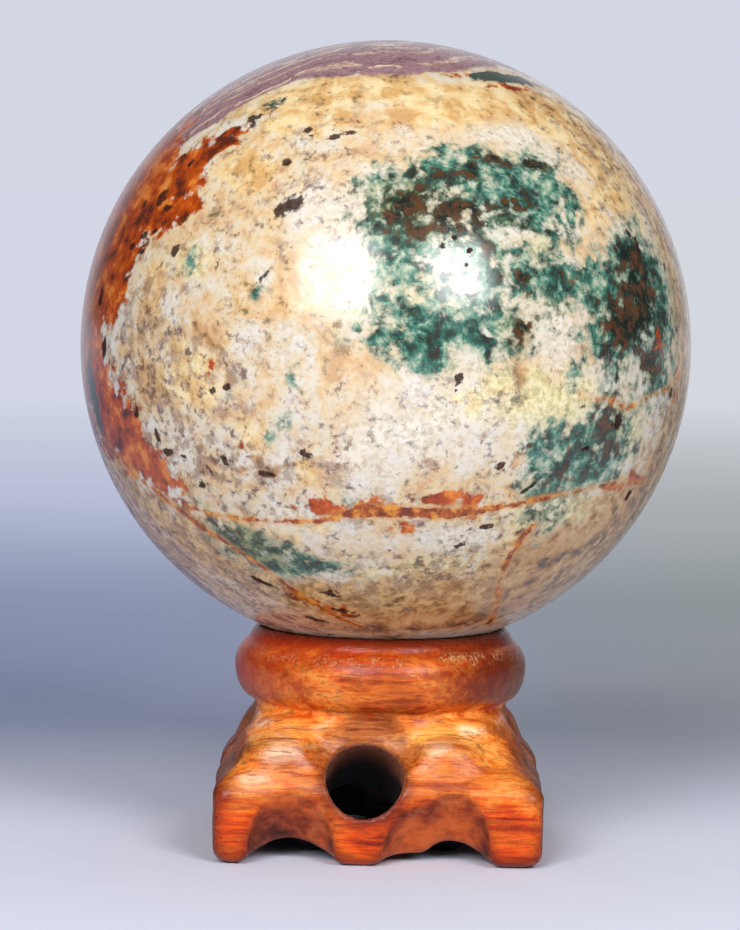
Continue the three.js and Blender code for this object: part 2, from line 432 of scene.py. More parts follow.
def cube_sphere(steps):
    """Unit directions and quads of a ball made of six square grids."""
    turn = np.linspace(-math.pi / 4, math.pi / 4, steps + 1)
    u, v = np.meshgrid(np.tan(turn), np.tan(turn), indexing="ij")
    one = np.ones_like(u)
    sides = [(one, u, v), (-one, -u, v), (-u, one, v), (u, -one, v), (-v, u, one), (v, u, -one)]
    points = np.concatenate([np.stack(s, -1).reshape(-1, 3) for s in sides])
    points /= np.linalg.norm(points, axis=1, keepdims=True)
    corner = np.arange((steps + 1) ** 2).reshape(steps + 1, steps + 1)
    grid = np.stack([corner[:-1, :-1], corner[1:, :-1], corner[1:, 1:], corner[:-1, 1:]], -1)
    quads = np.concatenate([grid.reshape(-1, 4) + i * (steps + 1) ** 2 for i in range(6)])
    _, first, same = np.unique(
        np.round(points, 6), axis=0, return_index=True, return_inverse=True
    )
    return points[first], same.reshape(-1)[quads]


# Marks in the stone. Longitude is counted from the front (-Y) towards +X and latitude from the
# equator, in degrees. Each blot is (longitude, latitude, half length, half width, strength, tilt),
# and has no tilt where that is left out.
TEAL = (
    (4, 33, 6, 3, 0.8), (13, 36, 5, 4, 1.2), (21, 37, 4, 3, 1, -20), (29, 35, 5, 4, 0.9),
    (36, 34, 4, 5, 1.1), (37, 28, 4, 4, 1.1), (30, 29, 5, 4, 1), (20, 31, 6, 4, 0.9),
    (10, 29, 7, 3, 0.8), (1, 29, 5, 4, 0.8), (2, 24, 6, 4, 1), (5, 20, 4, 4, 0.8),
    (2, 14, 4, 5, 0.72), (-1, 20, 3, 5, 0.75), (8, 14, 4, 5, 0.6), (14, 15, 5, 6, 0.45),
    (10, 23, 7, 3, 0.7), (30, 24, 5, 2, 0.8, -30), (24, 25, 4, 3, 0.6), (-3, 33, 3, 2, 0.6, 30),
    (18, 21, 3, 4, 0.7), (25, 18, 3, 3, 0.8), (21, 13, 3, 3, 0.9), (28, 14, 5, 3, 1.3),
    (35, 15, 5, 3, 1.6), (41, 13, 5, 4, 1.6), (51, 17, 5, 4, 1.8), (57, 13, 6, 8, 1.9),
    (49, 10, 6, 4, 1.9), (59, 4, 6, 9, 1.9), (48, 3, 6, 4, 1.6), (42, 5, 4, 3, 1.1),
    (58, -3, 4, 4, 0.8), (46, -2, 3, 3, 0.7), (24, 6, 4, 4, 1, 30), (18, 3, 3, 4, 0.8),
    (0, 7, 5, 3, 0.8), (9, 6, 5, 4, 1.2), (-4, 4, 4, 1.5, 0.7), (5, 2, 6, 3, 1.1, -20),
    (15, 8, 5, 3, 0.8), (7, 0, 3, 2, 0.7), (14, 4, 4, 2, 0.8), (36, -2, 1.6, 3, 0.9, -20),
    (43, -5, 1.6, 3, 0.7), (31, -15, 4, 4, 1), (36, -16, 4, 4, 1), (42, -14, 5, 4, 1),
    (47, -12, 5, 4, 1.1), (38, -21, 5, 4, 1.1), (46, -18, 7, 4, 1.1), (31, -22, 3, 4, 0.9, 40),
    (42, -22, 8, 2, 1, 10), (34, -28, 4, 4, 0.9), (38, -32, 4, 1.6, 1, 50),
    (-31, -37.5, 6, 3, 2, -22), (-26, -40, 6, 3, 2, -14), (-22, -40, 3, 2, 0.9, 10),
    (-38, -30, 4, 1.4, 0.5, -40), (-18, -11, 2, 1.4, 1.2, 30), (-16, -3, 1.2, 2, 0.9),
    (-21, -14, 1.6, 1, 0.7, 45), (-23, 12, 2.4, 0.9, 0.8, 60), (-39, 17, 1.3, 2.6, 0.7),
    (-6, -26, 1.6, 3, 0.7, 20), (-29, -7, 1.5, 1, 0.6, 20), (-10, -41, 6, 2, 0.5),
)
DARK_IN_TEAL = (
    (25, -17, 3, 0.9, 1.2, 45), (31, -31, 3, 1.2, 0.9, 50), (13, 27, 6, 2, 1), (25, 28, 4, 1.6, 1),
    (17, 35, 4, 3, 0.7), (35, 37, 4, 1.6, 1.1), (24, 38, 3, 1.4, 0.8, -20), (5, 23, 5, 3, 0.7),
    # (51, 15), (56, 8) and (48, 5), towards the right side, are partly painted shade where the ball
    # turns away
    (51, 15, 4, 5, 1.4), (56, 8, 5, 9, 1.5), (48, 5, 6, 4, 1.1), (25, 6, 3, 3, 1, 40),
    (26, 15, 3, 2, 0.8), (38, 14, 3, 2, 0.7), (8, 27, 8, 1.2, 0.9), (10, 24, 7, 1, 0.9, 5),
    (3, 29, 4, 1.2, 0.8), (-1, 24, 3, 1.5, 0.7, 30), (45, -11, 4, 3, 1.2),
    (48, -17, 6, 2, 0.8, 10), (36, -17, 1.4, 3, 0.8), (3, 31, 8, 1.4, 0.8), (45, 9, 5, 2, 0.8),
    (56, -1, 4, 3, 0.7), (-31, -38, 3, 1.4, 0.8, -20), (38, -22, 8, 2, 0.7, 5),
    (18, 22, 1.4, 4, 0.8, 20), (-38, -31, 4, 1.6, 1, -40),
)
RUST = (
    (-41, 44, 5, 1.8, 1.1, 30), (-48, 38, 6, 3.5, 1.3, 30), (-50, 31, 6, 6, 1.4),
    (-43, 27, 4, 1.4, 0.9, 10), (-57, 26, 6, 5, 1.3), (-47, 25, 3, 3, 0.8),
    (-60, 17, 5, 5, 1.1, 60), (-66, 12, 5, 6, 1.2), (-59, 9, 3.5, 4, 1.3), (-68, 25, 7, 14, 1.5),
    (-62, 30, 5, 6, 1.2), (-64, 20, 5, 8, 1.2), (-74, 8, 6, 16, 1.4), (-76, 30, 8, 20, 1.6),
    (-82, 5, 7, 26, 1.4), (-66, -4, 3, 6, 1.2), (-61, -12, 6, 6, 1.8), (-57, -18, 6, 5, 1.9, -50),
    (-50, -22, 5, 3.5, 1.4, -30), (-46, -27, 4, 2, 1, -50), (-70, -16, 4, 6, 0.9),
    (-13, -27, 3.4, 2.2, 1.1), (-9, -28, 4, 1.2, 1), (-1, -26.5, 3, 1.4, 1),
    (9, -25, 4, 1, 0.9, 5), (14, -24.5, 4, 1.8, 0.9), (18, -27, 2, 2, 0.9), (4, -31, 3, 1.2, 0.8),
    (30, 61, 5, 1.2, 1), (46, 57.5, 7, 1.2, 1, -5), (-32, -3, 0.9, 3, 0.9),
    (-27, -15, 0.8, 2.6, 0.7), (36, -34, 5, 2, 0.6), (52, -24, 8, 1.2, 0.7), (60, -22, 4, 2, 0.7),
    (-12, -55, 6, 2, 0.8, -20), (-20, -52, 6, 1.6, 0.7, -35), (58, 3, 5, 4, 0.6),
    (70, -6, 1.4, 4, 0.9, 20),
)
OCHRE = (
    (-28, 52, 9, 6, 1), (-14, 56, 10, 4, 1), (-22, 46, 8, 4, 0.7), (8, 56, 10, 4, 0.8),
    (17, 50, 7, 4, 1), (36, 54, 10, 5, 1), (50, 47, 10, 8, 1), (61, 36, 8, 12, 0.9),
    (68, 20, 6, 14, 0.8), (-36, 36, 5, 5, 0.8), (-28, 34, 4, 4, 0.7), (45, 26, 4, 3, 0.7),
    (-38, 0, 5, 3, 0.6), (-37, -6, 6, 3, 0.8), (-33, -5, 2, 4, 0.8), (-25, -14, 3, 3, 0.8),
    (-14, -20, 2, 3, 0.8), (-24, 10, 7, 3, 0.5), (-48, 14, 4, 2, 0.8, 20), (14, -8, 5, 2, 0.5),
    (-4, -42, 6, 2, 0.5), (25, -27, 10, 1.5, 0.6, 5), (-26, -32, 12, 2, 0.8, -8),
    (30, -35, 5, 4, 0.7), (-66, 50, 8, 4, 0.5, 40), (30, 12, 3, 3, 0.5), (52, 33, 6, 4, 0.6),
    (4, 46, 6, 3, 0.4),
)
TAN = (
    (-55, -40, 18, 9, 1, -35), (-35, -50, 16, 8, 1, -30), (-75, -20, 8, 14, 0.7),
    # (0, -58) is painted shade and a painted reflection of the stand, a darker band along the ball's
    # bottom just above the ring
    (0, -58, 40, 8, 0.7), (45, -42, 14, 9, 1.1, 20), (62, -32, 10, 12, 0.8), (74, -6, 7, 18, 0.5),
    (76, 30, 8, 20, 0.4), (25, -50, 16, 6, 0.8), (10, -48, 14, 4, 0.5), (-45, 0, 10, 12, 0.35),
)
PALE = (
    (0, 10, 14, 8, 0.5), (30, 44, 9, 2.6, 1), (-12, 28, 10, 8, 0.5), (8, -12, 14, 8, 0.7),
    (32, 4, 5, 5, 1.2), (37, 24, 6, 2.5, 0.8), (28, -18, 4, 4, 0.6), (5, -35, 20, 3, 0.6),
    (-4, -16, 6, 6, 0.6), (-12, -43, 3.2, 2, 1.2), (52, 0, 3, 3, 0.6), (-22, -30, 5, 3, 0.7),
    (-41, 45, 7, 1, 1, 30), (-60, 37, 9, 0.8, 1.6, 52), (45, 36, 5, 3, 0.7, -40),
    (64, 22, 5, 12, 0.7), (2, 43, 10, 3, 0.4), (18, -33, 8, 2, 0.6),
)
OLIVE = (
    (-31, -37, 10, 5, 1, -18), (-38, -30, 6, 3, 1.2, -40), (35, -29, 6, 5, 1.2),
    (24, 5, 4, 4, 0.7), (46, -14, 5, 5, 0.5), (-22, -21, 4, 3, 0.6), (55, -2, 5, 4, 0.6),
    (30, 9, 4, 3, 0.6), (4, 28, 9, 6, 0.8), (25, 24, 4, 3, 0.6), (-41, 50, 3, 3, 1.2),
    (170, 10, 30, 30, 0.7),
)
BROWN = (
    (24, 3, 2.6, 1.4, 1.3, 40), (24, -2, 1.4, 2.6, 1.2), (13, 30, 8, 3, 0.6), (36, 27, 3, 3, 0.5),
    (31, -21, 5, 1.6, 1.2, 30), (26, -17, 3, 1.2, 1, 40), (-24, -20, 4, 2.4, 0.9),
    (-32, 2, 1.6, 2.4, 0.8), (44, -40, 9, 5, 0.7, 20), (38, -35, 6, 4, 0.8),
    (56, -32, 8, 8, 0.6, 20), (52, -50, 12, 6, 0.6), (36, -35, 5, 4, 0.6), (30, -56, 14, 4, 0.8),
    # (-5, -60) darkens the same band along the ball's bottom, as painted shade and a painted
    # reflection of the stand
    (-5, -60, 20, 4, 0.9), (66, -22, 6, 10, 0.8), (-66, -42, 8, 6, 0.6, -30),
    (150, -45, 24, 12, 0.9), (-150, 20, 12, 18, 0.6),
)
LIME = (
    (14, -8, 6, 3, 0.9), (30, -8, 10, 4, 0.9), (36, -5, 4, 4, 0.9), (34, -30, 7, 6, 0.9),
    (6, 10, 10, 3, 0.6), (52, -14, 5, 6, 0.9), (24, -3, 8, 4, 0.6), (-2, -42, 12, 3, 0.7),
    (-22, -32, 10, 3, 0.6), (-38, 17, 5, 4, 0.6), (-38, -2, 6, 3, 0.5), (46, -28, 8, 3, 0.8),
    (28, 20, 8, 3, 0.5), (-5, 10, 5, 4, 0.4), (20, -40, 8, 4, 0.4),
)
SLATE = (
    (-71, -9, 2.6, 8, 1.2, 10), (49, 61, 9, 2, 1.3, -4), (-36, 51, 3, 4, 0.6, -40),
)
SPECKLED = (
    (-45, -10, 16, 18, 1), (-35, -20, 12, 8, 0.9), (-12, -18, 5, 6, 0.9), (-55, 0, 8, 10, 1),
    (-24, -22, 5, 3, 1), (10, -28, 20, 4, 0.8), (-50, -38, 16, 6, 0.9, -35),
    (-38, -48, 14, 5, 1, -30), (72, 10, 8, 34, 0.5), (58, 26, 8, 18, 0.6), (66, -22, 8, 16, 1),
    (12, -40, 16, 5, 0.8), (62, 46, 10, 10, 0.6, -40), (-30, 0, 10, 5, 0.6),
    (-20, 38, 16, 10, 0.5), (5, 30, 8, 6, 0.5), (-28, 22, 8, 4, 0.4), (10, -12, 12, 6, 0.35),
    (45, -3, 6, 6, 0.5), (20, -44, 14, 4, 0.6),
)
# Small dark spots: (longitude, latitude, half length, half width, tilt).
SPOTS = (
    (-20, 27.4, 3.6, 1.7, 38), (-38, 47, 1.6, 1.1, 30), (-37, 45, 0.7, 1.2), (-20.5, 44, 1.1, 0.8),
    (-19.5, 42.8, 0.9, 0.6), (-20, 48, 0.6, 0.5), (-23, 36.5, 1.2, 0.8), (-54, 28.5, 1.4, 2.2),
    (-50, 26.5, 1.3, 0.8), (-50, 36, 0.9, 0.8), (-55, 21, 1, 0.8), (-51.5, 22, 0.9, 0.7),
    (-54, 18, 1, 0.7), (-44, 18.5, 1, 1.2), (-67, 9, 1, 2), (-63, 0, 1, 2.2),
    (-52.5, -11, 0.9, 1.3), (-45, -18, 1.2, 1), (-41, -18.5, 1, 0.6, -30), (-14.5, -17, 1.3, 1),
    (-23, -21, 1.8, 0.8, -10), (-31, -19, 0.7, 1.4, 40), (13, -2.6, 0.9, 1),
    (12.5, -4.8, 0.5, 0.6), (22, -18.5, 1.2, 0.8, 20), (29, -23, 3.2, 0.45, 42),
    (22, -31, 1.3, 0.8), (17, -35, 1.5, 0.6, 20), (-14, -48.5, 1.9, 1.1), (40, -16, 1, 0.6, 30),
    (46, -3, 0.7, 1.1), (55, 23, 1.8, 0.5, -50), (57, 20.5, 0.6, 1.6), (12.5, 22, 0.55, 0.7),
    (10.2, 20.2, 0.6, 0.7), (15.3, 19.6, 0.6, 0.5), (14.5, 17, 0.45, 0.4), (12, 15.2, 0.4, 0.4),
    (-32, -6, 0.9, 0.8, -30), (-29, -5.4, 0.9, 0.6, 20), (-13, 42.5, 1.6, 0.7, 20),
    (-9.5, 43.5, 1.2, 0.6, 20), (-33, 16, 0.4, 1.2), (-23, 14, 0.5, 1.6, -35), (-60, 27, 0.8, 1.2),
    (-58, 19, 1.4, 0.7), (-47, -15, 0.6, 1.6, 10), (-35, -21, 0.6, 1.6, 30), (-38, -24, 0.7, 1),
    (48, -11, 1.6, 1.6), (66, -7, 0.8, 1.4), (38, -8, 0.7, 0.6), (60, -26, 0.8, 1.6, -30),
    (-23, -58, 3, 0.6, -30), (-12, -54, 2.4, 0.7, -20), (-33, -46, 3.6, 0.7, -32),
)
BLOTS = {
    "teal": TEAL, "dark": DARK_IN_TEAL, "rust": RUST, "ochre": OCHRE, "tan": TAN, "pale": PALE,
    "slate": SLATE, "olive": OLIVE, "lime": LIME, "brown": BROWN, "speckled": SPECKLED,
}
# Veins: points of (longitude, latitude, half width in millimetres).
RUST_VEINS = (
    ((33, -31, 0.45), (31, -35, 0.5), (30, -39, 0.4), (31, -44, 0.35), (34, -49, 0.35),
     (39, -55, 0.4), (44, -60, 0.5)),
    ((-44, -29, 0.25), (-38, -30, 0.3), (-30, -30.4, 0.3), (-20, -30.6, 0.3), (-14, -30.2, 0.4),
     (-8, -28.8, 0.6), (-3, -27.6, 0.9), (2, -27.6, 0.8), (8, -28.2, 0.8), (14, -28, 0.6),
     (20, -27.4, 0.6), (27, -26.4, 0.4), (35, -25, 0.3), (45, -23.6, 0.2), (55, -23, 0.2),
     (64, -24, 0.2), (80, -22, 0.2), (105, -26, 0.4), (130, -22, 0.5), (160, -27, 0.3)),
    ((37, -6, 0.15), (44, -7, 0.1), (50, -8.8, 0.2), (56, -7, 0.1), (64, -5.8, 0.1),
     (70, -3, 0.15)),
    ((67, -9, 0.2), (70, -5, 0.25), (72, 0, 0.1)),
    ((-76, -12, 0.3), (-68, -19, 0.3), (-60, -22.4, 0.35), (-52, -27, 0.4), (-45, -31.5, 0.45),
     (-38, -36, 0.4), (-31, -41, 0.35), (-26, -46, 0.35), (-20, -52, 0.4), (-14, -57, 0.4),
     (-8, -60, 0.4)),
    ((180, 40, 0.3), (150, 20, 0.4), (140, -5, 0.3), (125, -30, 0.4)),
    ((-110, 50, 0.3), (-130, 20, 0.4), (-160, 5, 0.5), (175, -20, 0.3)),
)
# Lower edge of the banded mauve cap: latitude at each longitude.
CAP_EDGE = (
    (-180, 30), (-120, 44), (-90, 54), (-74, 50), (-68, 44), (-65, 31), (-58, 41), (-50, 48),
    (-42, 54), (-34, 58), (-20, 60.5), (0, 61.5), (20, 62), (32, 64), (45, 65.5), (62, 66),
    (90, 62), (130, 50), (180, 30),
)
# What the unseen side gets: how many blots of each kind, their least and greatest half length in
# degrees, and a seed.
BACK = {
    "teal": (16, 4, 9, 11), "rust": (12, 3, 9, 12), "ochre": (14, 5, 11, 13), "dark": (12, 2, 5, 17),
    "speckled": (12, 8, 16, 14), "pale": (10, 4, 9, 15), "tan": (8, 8, 16, 16),
}
BACK_SPOTS, BACK_SPOTS_SEED = 60, 21

BLOT_FALL = 0.9  # how steeply a blot fades outwards
BLOT_FULL = 1.3  # what many blots on one place add up to
OTHER_SIDE = 99  # distance given to all that lies on the ball's other half


def heading(longitude, latitude):
    """Unit directions out, east and north at a place on the ball."""
    a, b = math.radians(longitude), math.radians(latitude)
    out = np.array([math.sin(a) * math.cos(b), -math.cos(a) * math.cos(b), math.sin(b)])
    east = np.array([math.cos(a), math.sin(a), 0])
    return out, east, np.cross(out, east)


def blot_reach(way, longitude, latitude, half_length, half_width, tilt=0):
    """Distance of each direction from a blot's middle, 1 at its edge."""
    out, east, north = heading(longitude, latitude)
    turn = math.radians(tilt)
    along, across = way @ east, way @ north
    u = (along * math.cos(turn) + across * math.sin(turn)) / math.radians(half_length)
    v = (across * math.cos(turn) - along * math.sin(turn)) / math.radians(half_width)
    return np.where(way @ out > 0, np.hypot(u, v), OTHER_SIDE)


def blots(way, marks, kind):
    """Soft sum of blots; some kinds have seeded blots on the unseen side too."""
    marks = list(marks)
    if kind in BACK:
        count, least, most, seed = BACK[kind]
        rng = np.random.default_rng(seed)
        for _ in range(count):
            place = (rng.uniform(95, 265), math.degrees(math.asin(rng.uniform(-0.85, 0.85))))
            size = (rng.uniform(least, most), rng.uniform(least, most) * 0.7)
            tilt, strength = rng.uniform(-60, 60), rng.uniform(0.7, 1.2)
            marks.append((*place, *size, strength, tilt))
    total = np.zeros(len(way))
    for *shape, strength, tilt in [(*mark, 0)[:6] for mark in marks]:
        total += strength * np.exp(-BLOT_FALL * blot_reach(way, *shape, tilt) ** 2)
    return BLOT_FULL * (1 - np.exp(-total))


def spots(way):
    """1 in the middle of the nearest spot, 0 at its edge, negative outside."""
    marks = list(SPOTS)
    rng = np.random.default_rng(BACK_SPOTS_SEED)
    for _ in range(BACK_SPOTS):
        place = (rng.uniform(85, 275), math.degrees(math.asin(rng.uniform(-0.9, 0.9))))
        marks.append((*place, rng.uniform(0.5, 1.8), rng.uniform(0.4, 1.1), rng.uniform(0, 180)))
    nearest = np.full(len(way), 4.0)
    for mark in marks:
        nearest = np.minimum(nearest, blot_reach(way, *mark))
    return 1 - nearest


def veins(way):
    """How far inside the nearest vein, in millimetres, negative outside."""
    best = np.full(len(way), -5.0)
    for line in RUST_VEINS:
        for (lon_a, lat_a, wide_a), (lon_b, lat_b, wide_b) in zip(line, line[1:]):
            a, b = heading(lon_a, lat_a)[0], heading(lon_b, lat_b)[0]
            t = np.clip((way - a) @ (b - a) / ((b - a) @ (b - a)), 0, 1)
            gap = way - a - t[:, None] * (b - a)
            away = np.sqrt((gap * gap).sum(1)) * SPHERE_RADIUS
            best = np.maximum(best, wide_a + (wide_b - wide_a) * t - away)
    return best


def below_seam(way):
    """Millimetres under the slanting seam across the lower left, which rounds the whole ball."""
    out = np.cross(heading(-76, -12)[0], heading(-14, -57)[0])
    return -(way @ (out / np.linalg.norm(out))) * SPHERE_RADIUS


def make_sphere():
    way, quads = cube_sphere(SPHERE_STEPS)
    longitude = np.degrees(np.arctan2(way[:, 0], -way[:, 1]))
    latitude = np.degrees(np.arcsin(np.clip(way[:, 2], -1, 1)))
    edge = np.interp(longitude, *zip(*CAP_EDGE))
    fields = {kind: blots(way, marks, kind) for kind, marks in BLOTS.items()}
    fields |= {
        "below": below_seam(way),
        # the peach layers under the seam are fainter from just left of the front to the right
        "under": 1 - 0.75 * smooth((longitude + 28) / 24) * smooth((150 - longitude) / 30),
        "spot": spots(way),
        "vein": veins(way),
        "cap": (latitude - edge) / 10,
        # the two sides of the ball, where it turns away from the front
        "limb": smooth((np.abs(longitude) - 60) / 14) * smooth((120 - np.abs(longitude)) / 14),
    }
    sphere = mesh_object("sphere_polished", way * SPHERE_RADIUS, quads, fields)
    sphere.data.transform(Matrix.Translation((0, 0, SPHERE_CENTRE * MM)))
    sphere.data.materials.append(stone_material())
    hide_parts("stone_sphere")
    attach(sphere, "root")


# --- materials ---
def linear(red, green, blue):
    """A colour given as 0 to 255 screen values, as the shader wants it."""
    return tuple(
        c / 12.92 if c <= 0.04045 else ((c + 0.055) / 1.055) ** 2.4
        for c in (red / 255, green / 255, blue / 255)
    ) + (1,)


class Nodes:
    """Short names for the shader nodes of one material."""

    def __init__(self, name):
        self.material = bpy.data.materials.new(name)
        self.material.use_nodes = True
        self.tree = self.material.node_tree
        self.shader = self.tree.nodes["Principled BSDF"]
        self.colour = None

    def add(self, kind, **settings):
        node = self.tree.nodes.new("ShaderNode" + kind)
        for key, value in settings.items():
            setattr(node, key, value)
        return node

    def put(self, value, socket):
        if isinstance(value, bpy.types.NodeSocket):
            self.tree.links.new(value, socket)
        else:
            socket.default_value = value

    def field(self, name):
        return self.add("Attribute", attribute_name=name).outputs["Fac"]

    def place(self, stretch=(1, 1, 1), shift=(0, 0, 0)):
        """Position on the object in millimetres, stretched and shifted."""
        where = self.add("TexCoord").outputs["Object"]
        mapping = self.add("Mapping")
        self.tree.links.new(where, mapping.inputs["Vector"])
        mapping.inputs["Scale"].default_value = [v / MM for v in stretch]
        mapping.inputs["Location"].default_value = shift
        return mapping.outputs[0]

    def axes(self):
        """X, Y and Z on the object in millimetres."""
        node = self.add("SeparateXYZ")
        self.put(self.place(), node.inputs[0])
        return node.outputs

    def pair(self, u, v):
        """Two values as a place for a noise."""
        node = self.add("CombineXYZ")
        self.put(u, node.inputs[0])
        self.put(v, node.inputs[1])
        return node.outputs[0]

    def noise(self, size, place=None, detail=3.0, rough=0.55, warp=0.0):
        """Smooth noise between about 0.2 and 0.8, with lumps about this many millimetres across."""
        node = self.add("TexNoise")
        self.put(place or self.place(), node.inputs["Vector"])
        node.inputs["Scale"].default_value = 1 / size
        node.inputs["Detail"].default_value = detail
        node.inputs["Roughness"].default_value = rough
        node.inputs["Distortion"].default_value = warp
        return node.outputs["Fac"]

    def lumps(self, *size_and_place, **kind):
        """Noise stretched to fill 0 to 1."""
        return self.span(self.noise(*size_and_place, **kind), 0.28, 0.72)

    def cells(self, size, place=None):
        node = self.add("TexVoronoi")
        self.put(place or self.place(), node.inputs["Vector"])
        node.inputs["Scale"].default_value = 1 / size
        return node.outputs["Distance"]

    def sum(self, a, b):
        return self.math("ADD", a, b)

    def times(self, a, b):
        return self.math("MULTIPLY", a, b)

    def math(self, operation, a, b):
        node = self.add("Math", operation=operation)
        self.put(a, node.inputs[0])
        self.put(b, node.inputs[1])
        return node.outputs[0]

    def span(self, value, low, high, to_low=0.0, to_high=1.0):
        """Where the value lies between low and high, eased at both ends."""
        node = self.add("MapRange", interpolation_type="SMOOTHSTEP")
        self.put(value, node.inputs["Value"])
        node.inputs["From Min"].default_value = low
        node.inputs["From Max"].default_value = high
        node.inputs["To Min"].default_value = to_low
        node.inputs["To Max"].default_value = to_high
        return node.outputs["Result"]

    def patch(self, name, noise, share, low, high, most=1.0):
        """Where a field is past low towards high, with its edge broken up by a share of noise."""
        return self.span(self.sum(self.field(name), self.times(noise, share)), low, high, 0, most)

    def mix(self, share, a, b):
        """Colour a with this share of colour b over it."""
        node = self.add("Mix", data_type="RGBA")
        self.put(share, node.inputs["Factor"])
        self.put(a, node.inputs[6])
        self.put(b, node.inputs[7])
        return node.outputs[2]

    def coat(self, share, colour):
        """Lay a colour, a socket or three screen values, over the colour so far."""
        over = linear(*colour) if isinstance(colour, tuple) else colour
        self.colour = self.mix(share, self.colour, over)

    def ramp(self, value, *stops):
        """Colours along a value; each stop is a place between 0 and 1, red, green and blue."""
        node = self.add("ValToRGB")
        self.put(value, node.inputs["Fac"])
        marks = node.color_ramp.elements
        marks[0].position = stops[0][0]
        marks[0].color = linear(*stops[0][1:])
        marks[1].position = stops[-1][0]
        marks[1].color = linear(*stops[-1][1:])
        for place, *colour in stops[1:-1]:
            marks.new(place).color = linear(*colour)
        return node.outputs["Color"]

    def bump(self, height, strength, distance):
        node = self.add("Bump")
        self.put(height, node.inputs["Height"])
        node.inputs["Strength"].default_value = strength
        node.inputs["Distance"].default_value = distance * MM
        self.tree.links.new(node.outputs[0], self.shader.inputs["Normal"])


